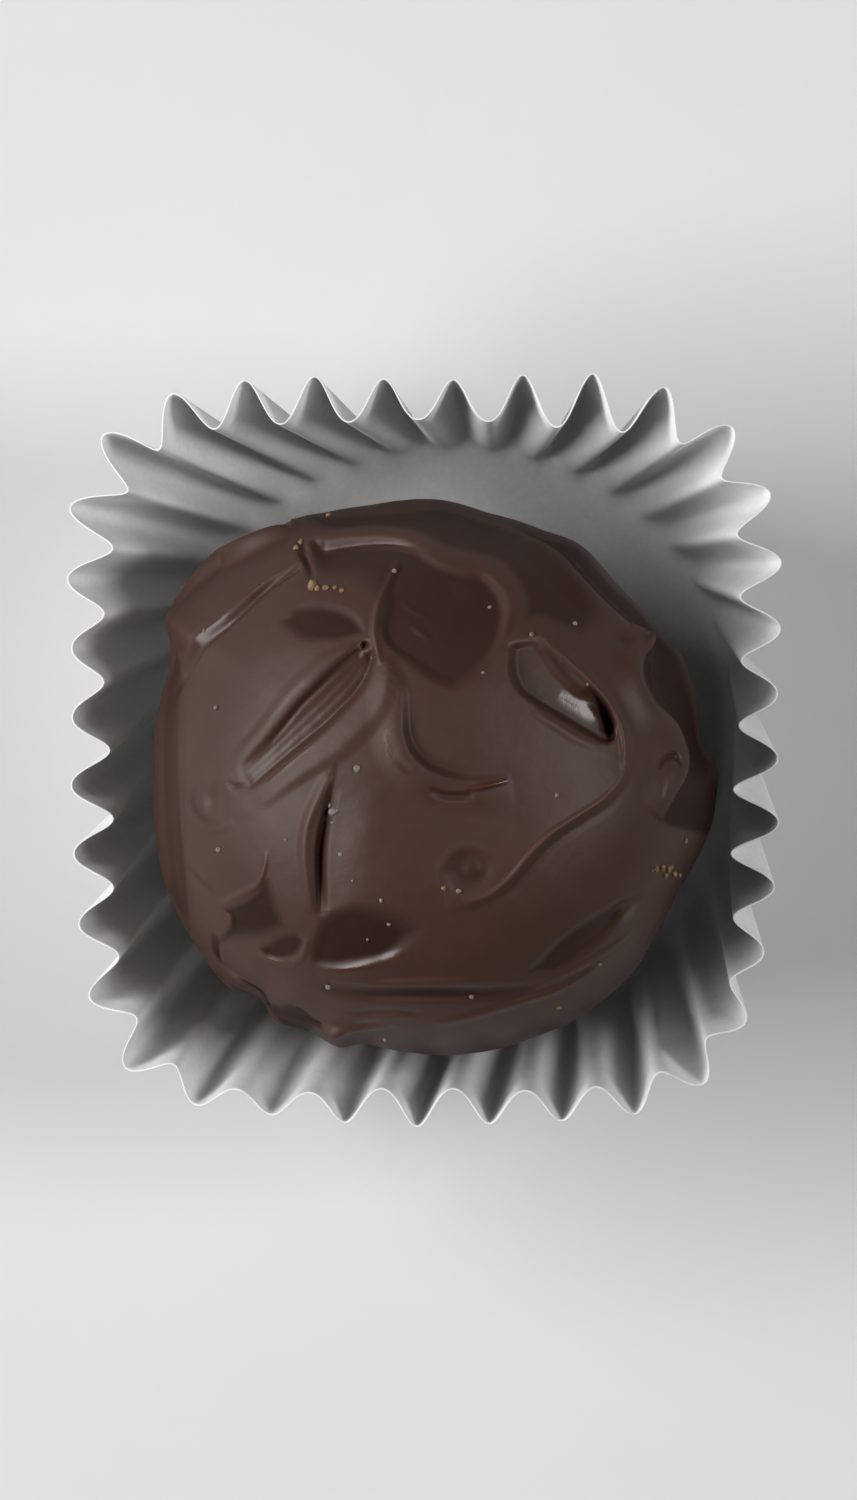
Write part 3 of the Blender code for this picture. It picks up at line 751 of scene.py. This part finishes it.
def finish_truffle():
    """Puts relief and skin on the ball, flattens its foot and keeps its masks."""
    relief[:] += skin_height(surface)
    points = surface + laying_directions(outward) * relief[:, None]
    points[:, 2] = np.maximum(points[:, 2], -BALL_FOOT)
    points += np.array(BALL_MIDDLE)
    write_points(truffle_mesh, points)
    bending = measure_bending(truffle_mesh, points)
    # Painted glow on thin crests, from how sharply the surface bends there.
    write_mask(truffle_mesh, "crest_glow", np.clip(-bending / 2.0 - 0.15, 0, 1))
    write_mask(truffle_mesh, "crease", np.clip(bending / 1.5 - 0.1, 0, 1))
    write_mask(truffle_mesh, "shine", shine)
    # Painted shade, kept off the glossy smears.
    write_mask(truffle_mesh, "painted_shade", painted_shade * (1 - shine))
    truffle_mesh.shade_smooth()
    piece = bpy.data.objects.new("truffle_coating", truffle_mesh)
    bpy.context.scene.collection.objects.link(piece)
    return piece, points


truffle, truffle_points = finish_truffle()
print("truffle", np.ptp(truffle_points, axis=0).round(2), "mm,", len(truffle_mesh.polygons), "faces")

# %% [markdown]
# ## Dark chocolate
# Set chocolate is a deep brown with little red in it, and a satin skin: roughness near a half,
# with a thinner gloss where it was smeared. Thin crests get a painted glow, a redder colour for
# the light that shines through them, and painted shade darkens the dents, hollows and lines that
# lie in shade. The masks kept with the mesh say where these are.
# %% Chocolate material
CHOCOLATE_DARK = (0.0385, 0.0165, 0.0105)
CHOCOLATE_LIGHT = (0.046, 0.0202, 0.0131)
# Painted glow: a redder colour where light shines through thin crests.
CREST_GLOW_RED = (0.068, 0.026, 0.0155)
# The colour of the painted shade.
PAINTED_SHADE_COLOUR = (0.019, 0.0082, 0.0062)


def mix_colour(tree, share, first, second):
    """A mix of two colours, each a plain colour or a socket, by the value of a socket."""
    mix = add_node(tree, "ShaderNodeMix", data_type="RGBA")
    tree.links.new(share, mix.inputs["Factor"])
    for socket, colour in ((mix.inputs[6], first), (mix.inputs[7], second)):
        if isinstance(colour, tuple):
            socket.default_value = (*colour, 1)
        else:
            tree.links.new(colour, socket)
    return mix.outputs[2]


def map_value(tree, value, low, high, from_low=0.0, from_high=1.0):
    """Stretches a value from one range to another."""
    stretch = add_node(tree, "ShaderNodeMapRange")
    tree.links.new(value, stretch.inputs["Value"])
    for name, number in (("From Min", from_low), ("From Max", from_high),
                         ("To Min", low), ("To Max", high)):
        stretch.inputs[name].default_value = number
    return stretch.outputs["Result"]


def read_mask(tree, name):
    """The value of a mask kept with the mesh."""
    return add_node(tree, "ShaderNodeAttribute", attribute_name=name).outputs["Fac"]


def new_material(name):
    """An empty node material, its tree and its Principled shader."""
    material = bpy.data.materials.new(name)
    material.use_nodes = True
    tree = material.node_tree
    return material, tree, tree.nodes["Principled BSDF"]


def add_mottle(tree, blotch_scale, grain_scale, contrast):
    """Places the mottling group with its own sizes."""
    mottle = add_node(tree, "ShaderNodeGroup", node_tree=mottle_group)
    mottle.inputs["Blotch Scale"].default_value = blotch_scale
    mottle.inputs["Grain Scale"].default_value = grain_scale
    mottle.inputs["Contrast"].default_value = contrast
    return mottle


def add_bump(tree, shader, height, strength, distance):
    """Fine relief from a height, given in metres."""
    bump = add_node(tree, "ShaderNodeBump", Strength=strength, Distance=distance)
    tree.links.new(height, bump.inputs["Height"])
    tree.links.new(bump.outputs["Normal"], shader.inputs["Normal"])


def make_chocolate():
    """Satin dark chocolate, with a painted glow on thin crests, painted shade, and shinier smears.
    """
    material, tree, shader = new_material("dark_chocolate")
    mottle = add_mottle(tree, 260.0, 2600.0, 2.2)
    colour = mix_colour(tree, mottle.outputs["Blotch"], CHOCOLATE_DARK, CHOCOLATE_LIGHT)
    # Thin crests get the painted glow colour.
    colour = mix_colour(tree, read_mask(tree, "crest_glow"), colour, CREST_GLOW_RED)
    # Painted shade darkens the colour where the mask says so.
    colour = mix_colour(tree, read_mask(tree, "painted_shade"), colour, PAINTED_SHADE_COLOUR)
    tree.links.new(colour, shader.inputs["Base Color"])
    shine_left = map_value(tree, read_mask(tree, "shine"), 0.53, 0.22)
    tree.links.new(shine_left, shader.inputs["Roughness"])
    shader.inputs["IOR"].default_value = 1.40
    # Where painted shade lies, the gloss is weaker too.
    dull = map_value(tree, read_mask(tree, "painted_shade"), 0.43, 0.15)
    tree.links.new(dull, shader.inputs["Specular IOR Level"])
    add_bump(tree, shader, mottle.outputs["Grain"], 0.15, 0.00003)
    return material


truffle_mesh.materials.append(make_chocolate())
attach(truffle, "root")
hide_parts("truffle")
print("chocolate on", truffle.name)

# %% [markdown]
# ## The paper case
# The case is a round of thin greaseproof paper pressed into a fluted wall. The paper can't
# stretch: going up the wall, the sheet gets longer round than the wall does, and the flutes take
# up the difference. Their depth is worked out from that, so they start shallow and open evenly.
# %% Sizes of the case
PAPER = 0.07                     # the real paper's thickness, in millimetres
FLOOR_RADIUS = 15.6
FLOOR_LEVEL = 0.12               # middle of the paper, above the lowest point
WALL_LENGTH = 17.95              # up the slope, from the floor's edge to the cut edge
MOUTH_CENTRE = np.array((-1.2, -0.7))
MOUTH_HALF = (17.9, 18.8)        # from the mouth's middle to its sides, between the flutes
MOUTH_SQUARENESS = 5.0           # exponent of the mouth's rounded square
MOUTH_TAPER = 0.03               # the mouth is wider at its far side by this share
FLUTES = 36
FLUTE_SWING = 1.05               # each flute's swing to either side, at the cut edge
FLUTE_SWING_WAVES = ((1, 0.20, -1.57), (5, 0.14, 0.7), (9, 0.12, 2.1))  # turns, share, phase
FLUTE_TURNING = 0.10             # how much sharper the folds are inside than at the tips
FLUTE_START = 0.82               # where the first flute's tip lies, in flutes
FLUTE_DRIFT_WAVES = ((1, 0.22), (2, 0.10))                # turns, flutes
FLUTE_DRIFT_TURN = 30 / 36       # where round the mouth the flutes run furthest ahead
FLOOR_LEAN = 0.17                # the flutes lean round towards the far side, in radians
COLUMNS_PER_FLUTE = 20
WALL_ROWS = 26
FLOOR_BEND = 1.3                 # millimetres of paper in the bend at the floor's edge
print(FLUTES * COLUMNS_PER_FLUTE, "columns of points round the wall")

# %% The wall's lines


def waves(turns, terms):
    """Sum of cosine waves round the mouth, each given as its count, size and phase."""
    return sum(size * np.cos(2 * np.pi * count * turns + phase) for count, size, phase in terms)


def mouth_line(turns):
    """Middle line of the mouth, walked at an even speed, at shares 0 to 1 of the way round."""
    angle = np.linspace(0, 2 * np.pi, 1441)
    power = 2 / MOUTH_SQUARENESS
    y = np.sign(np.sin(angle)) * np.abs(np.sin(angle)) ** power
    x = np.sign(np.cos(angle)) * np.abs(np.cos(angle)) ** power * (1 + MOUTH_TAPER * y)
    line = np.column_stack((x, y)) * MOUTH_HALF
    lengths = np.linalg.norm(np.diff(line, axis=0), axis=1)
    walked = np.concatenate(((0,), np.cumsum(lengths))) / lengths.sum()
    return np.column_stack([np.interp(turns % 1, walked, line[:, axis]) for axis in (0, 1)])


def flute_shape(phase, turns):
    """-1 at an inner fold and +1 at a tip. Tips are rounder at the left and right sides."""
    return np.cos(phase) - FLUTE_TURNING * np.cos(4 * np.pi * turns) * np.cos(2 * phase)


def fold_depth(share):
    """Flute depth at a share of the way up, against the cut edge, from the paper's spare length."""
    sheet = 2 * np.pi * (FLOOR_RADIUS + WALL_LENGTH * share)
    mouth = 3.86 * sum(MOUTH_HALF)
    wall = 2 * np.pi * FLOOR_RADIUS * (1 - share) + mouth * share
    return np.sqrt(sheet ** 2 - wall ** 2) / FLUTES


def wall_lines():
    """For each column: its flute phase, foot, mouth point, outward direction and swing."""
    flute = np.arange(FLUTES * COLUMNS_PER_FLUTE) / COLUMNS_PER_FLUTE
    drift = [(count, size, -2 * np.pi * count * FLUTE_DRIFT_TURN)
             for count, size in FLUTE_DRIFT_WAVES]
    turns = (flute + FLUTE_START + waves(flute / FLUTES, drift)) / FLUTES
    nudge = 0.001
    along = mouth_line(turns + nudge) - mouth_line(turns - nudge)
    out = np.column_stack((along[:, 1], -along[:, 0]))
    out /= np.linalg.norm(out, axis=1, keepdims=True)
    swing = FLUTE_SWING * (1 + waves(turns, FLUTE_SWING_WAVES))
    foot_angle = 2 * np.pi * turns + FLOOR_LEAN * np.cos(2 * np.pi * turns)
    foot = FLOOR_RADIUS * np.column_stack((np.cos(foot_angle), np.sin(foot_angle)))
    swing = swing * flute_shape(2 * np.pi * flute, turns)
    return foot, mouth_line(turns) + MOUTH_CENTRE, out, swing


foot, mouth, out, swing = wall_lines()
depth_share = fold_depth(np.linspace(0, 1, 5)) / fold_depth(1)
print("flute depth going up the wall:", depth_share.round(2))

# %% [markdown]
# The sheet is laid out row by row: rings of the flat floor, the bend at its edge, and the wall.
# It is one open surface. Solidify then gives it the thickness of real paper, which closes the
# cut edge as well. A cut edge is never quite true, so the wall's length varies a little there.
# %% Lay out the sheet
FLOOR_RINGS = (0.35, 0.6, 0.78, 0.9)             # shares of the floor's radius
SHADE_HEIGHTS = (0.01, 0.12, 0.5, 0.9)          # shares of the way up the wall
SHADE_SHARES = (0.12, 0.34, 0.12, 0.0)           # how much painted shade darkens the paper there
EDGE_WAVES = ((7, 0.06, 0.3), (23, 0.05, 1.2), (61, 0.05, 0.5), (143, 0.04, 2.2))


def wall_row(share):
    """One ring of points at this share of the way up the wall."""
    columns = np.arange(len(foot)) / len(foot)
    length = WALL_LENGTH + waves(columns, EDGE_WAVES)
    depth = fold_depth(share) / fold_depth(1)
    top = mouth + out * (swing * depth / max(share, 0.05))[:, None]
    run = np.linalg.norm(mouth + out * swing[:, None] - foot, axis=1)
    height = np.sqrt(length ** 2 - run ** 2)
    plan = foot + (top - foot) * share
    return np.column_stack((plan, height * share + FLOOR_LEVEL))


def sheet_rows():
    """All rings from the floor's middle to the cut edge."""
    flat = np.column_stack((foot, np.full(len(foot), FLOOR_LEVEL)))
    inner = flat * (1 - FLOOR_BEND / FLOOR_RADIUS, 1 - FLOOR_BEND / FLOOR_RADIUS, 1)
    outer = wall_row(FLOOR_BEND / WALL_LENGTH)
    rows = [flat * (share, share, 1) for share in FLOOR_RINGS]
    for share in np.linspace(0, 1, 6)[:-1]:
        rows.append((1 - share) ** 2 * inner + 2 * share * (1 - share) * flat
                    + share ** 2 * outer)
    for share in np.append(np.linspace(FLOOR_BEND / WALL_LENGTH, 0.992, WALL_ROWS), 1):
        rows.append(wall_row(share))
    return rows


def make_sheet():
    """The open sheet of the case, thickened to real paper."""
    rows = sheet_rows()
    columns = len(foot)
    faces = [tuple(reversed(range(columns)))]
    for row in range(len(rows) - 1):
        for column in range(columns):
            after = (column + 1) % columns
            low, high = row * columns, (row + 1) * columns
            faces.append((low + column, low + after, high + after, high + column))
    mesh = bpy.data.meshes.new("pleated_paper_case")
    mesh.from_pydata((np.vstack(rows) * MM).tolist(), [], faces)
    up_the_wall = np.vstack(rows)[:, 2] / WALL_LENGTH
    # Painted shade: the paper is darker low on the wall and at the floor's edge.
    write_mask(mesh, "painted_low_shade", np.interp(up_the_wall, SHADE_HEIGHTS, SHADE_SHARES))
    mesh.shade_smooth()
    piece = bpy.data.objects.new("pleated_paper_case", mesh)
    bpy.context.scene.collection.objects.link(piece)
    thicken = piece.modifiers.new("Paper", "SOLIDIFY")
    thicken.thickness = PAPER * MM
    thicken.offset = 0
    return piece


case = make_sheet()
print("case sheet of", len(case.data.polygons), "faces")

# %% [markdown]
# ## Greaseproof paper
# The paper is an off-white that looks grey in the shade. Light shows its cloudy fibres as faint
# mottling, a third of a millimetre across.
# %% Paper material
PAPER_WHITE = (0.88, 0.877, 0.868)
PAPER_GREY = (0.71, 0.707, 0.703)
# The colour of the painted shade low on the wall.
PAPER_SHADED = (0.30, 0.297, 0.295)
SHEERNESS = 0.12                 # share of the light that comes through


def make_paper():
    """Mottled off-white paper, with painted shade low on the wall."""
    material, tree, shader = new_material("greaseproof_paper")
    mottle = add_mottle(tree, 500.0, 3200.0, 1.8)
    share = add_node(tree, "ShaderNodeMath", operation="ADD")
    tree.links.new(map_value(tree, mottle.outputs["Blotch"], 0.0, 0.5), share.inputs[0])
    tree.links.new(map_value(tree, mottle.outputs["Grain"], 0.0, 0.5), share.inputs[1])
    colour = mix_colour(tree, share.outputs[0], PAPER_GREY, PAPER_WHITE)
    # Painted shade darkens the paper low on the wall.
    colour = mix_colour(tree, read_mask(tree, "painted_low_shade"), colour, PAPER_SHADED)
    tree.links.new(colour, shader.inputs["Base Color"])
    shader.inputs["Roughness"].default_value = 0.62
    shader.inputs["IOR"].default_value = 1.45
    shader.inputs["Subsurface Weight"].default_value = 0.1
    shader.inputs["Subsurface Radius"].default_value = (1.0, 1.0, 1.0)
    shader.inputs["Subsurface Scale"].default_value = 0.0003
    add_bump(tree, shader, mottle.outputs["Grain"], 0.25, 0.00003)
    glow = add_node(tree, "ShaderNodeBsdfTranslucent")
    tree.links.new(colour, glow.inputs["Color"])
    both = add_node(tree, "ShaderNodeMixShader", Fac=SHEERNESS)
    tree.links.new(shader.outputs[0], both.inputs[1])
    tree.links.new(glow.outputs[0], both.inputs[2])
    tree.links.new(both.outputs[0], tree.nodes["Material Output"].inputs["Surface"])
    return material


case.data.materials.append(make_paper())
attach(case, "root")
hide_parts("paper_case")
print("paper on", case.name)

# %% [markdown]
# ## Crumbs and specks
# Crumbs of nut and of lighter chocolate stuck to the coating while it was wet. They are real
# grains: small crumpled balls, sunk a little into the surface, and joined into one piece for
# each kind.
# %% Crumbs
PALE_SPECKS = (                  # places seen from above, and radius
    (-11.7, 3.75, 0.17), (-4.2, 0.55, 0.17), (-5.45, -1.85, 0.24), (-5.2, -1.7, 0.10),
    (-5.5, -2.4, 0.10), (-5.65, -1.45, 0.12), (-11.6, -3.85, 0.14), (-8.0, -3.3, 0.10),
    (-5.1, -4.1, 0.10), (-4.4, -5.5, 0.09), (-2.9, -6.5, 0.11), (-3.6, -8.6, 0.09),
    (-2.5, -7.8, 0.09), (-5.7, -11.2, 0.19), (1.9, -11.7, 0.15), (6.5, -0.95, 0.13),
    (8.9, -9.9, 0.11), (7.5, 8.3, 0.12), (3.0, 9.2, 0.10), (-2.1, 11.1, 0.11),
    (2.6, 5.7, 0.08), (-2.7, -14.0, 0.14),
)
OCHRE_CRUMBS = (
    (-6.55, 10.3, 0.30), (-6.3, 10.2, 0.16), (-5.8, 10.2, 0.18), (-5.3, 10.25, 0.16),
    (-5.0, 10.05, 0.14), (-7.1, 12.7, 0.18), (-7.4, 12.4, 0.15), (-5.7, 14.1, 0.14),
    (6.65, -12.3, 0.12), (5.2, 7.7, 0.13), (11.9, -4.85, 0.16), (12.2, -4.7, 0.22),
    (12.5, -4.9, 0.20), (12.4, -5.2, 0.17), (12.8, -5.15, 0.22), (13.1, -5.2, 0.15),
    (12.7, -4.75, 0.12), (11.6, -5.0, 0.09), (13.4, -3.4, 0.16),
    (0.5, -5.9, 0.12), (1.3, -6.0, 0.14), (8.2, 5.1, 0.10), (-12.3, 7.9, 0.10),
)


def surface_at(seen):
    """The coating's point that lies nearest to a place on it, as the camera sees it."""
    from_middle = truffle_points[:, :2] - np.array(BALL_MIDDLE)[:2]
    gap = np.linalg.norm(from_middle - lift(np.array([seen]))[0, :2], axis=1)
    gap[outward[:, 2] < 0.05] = np.inf
    return truffle_points[np.argmin(gap)]


def add_crumbs(name, places, seed):
    """Small crumpled grains at these places, joined into one mesh."""
    random = np.random.default_rng(seed)
    shell = bmesh.new()
    for across, away, radius in places:
        grain = bmesh.ops.create_icosphere(shell, subdivisions=2, radius=radius * MM)
        centre = Vector(surface_at((across, away))) * MM
        stretch = random.uniform(0.75, 1.25, 3)
        for vertex in grain["verts"]:
            bumps = 1 + random.uniform(-0.16, 0.16)
            vertex.co = centre + Vector(np.array(vertex.co) * stretch) * bumps
    mesh = bpy.data.meshes.new(name)
    shell.to_mesh(mesh)
    shell.free()
    piece = bpy.data.objects.new(name, mesh)
    bpy.context.scene.collection.objects.link(piece)
    return piece


def make_crumb_material(name, dark, light):
    """A dry, slightly uneven crumb."""
    material, tree, shader = new_material(name)
    mottle = add_mottle(tree, 2500.0, 6000.0, 2.0)
    colour = mix_colour(tree, mottle.outputs["Blotch"], dark, light)
    tree.links.new(colour, shader.inputs["Base Color"])
    shader.inputs["Roughness"].default_value = 0.6
    return material


pale_specks = add_crumbs("pale_specks", PALE_SPECKS, 3)
pale_specks.data.materials.append(
    make_crumb_material("pale_speck", (0.11, 0.09, 0.08), (0.20, 0.175, 0.16)))
ochre_crumbs = add_crumbs("ochre_crumbs", OCHRE_CRUMBS, 8)
ochre_crumbs.data.materials.append(
    make_crumb_material("ochre_crumb", (0.12, 0.062, 0.028), (0.21, 0.12, 0.060)))
for piece in (pale_specks, ochre_crumbs):
    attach(piece, "root")
    print(piece.name, len(piece.data.polygons), "faces")

# %% [markdown]
# ## The floor
# A plain pale table top. It isn't part of the object.
# %% Floor


def add_floor():
    """A large pale disc just under the case."""
    mesh = bpy.data.meshes.new("floor")
    shell = bmesh.new()
    bmesh.ops.create_circle(shell, cap_ends=True, segments=96, radius=1.5)
    shell.to_mesh(mesh)
    shell.free()
    floor = bpy.data.objects.new("floor", mesh)
    bpy.context.scene.collection.objects.link(floor)
    material, tree, shader = new_material("pale_table")
    mottle = add_mottle(tree, 40.0, 900.0, 1.0)
    colour = mix_colour(tree, mottle.outputs["Blotch"], (0.56, 0.555, 0.545), (0.60, 0.595, 0.585))
    tree.links.new(colour, shader.inputs["Base Color"])
    shader.inputs["Roughness"].default_value = 0.7
    mesh.materials.append(material)
    return floor


print(add_floor().name, "laid")
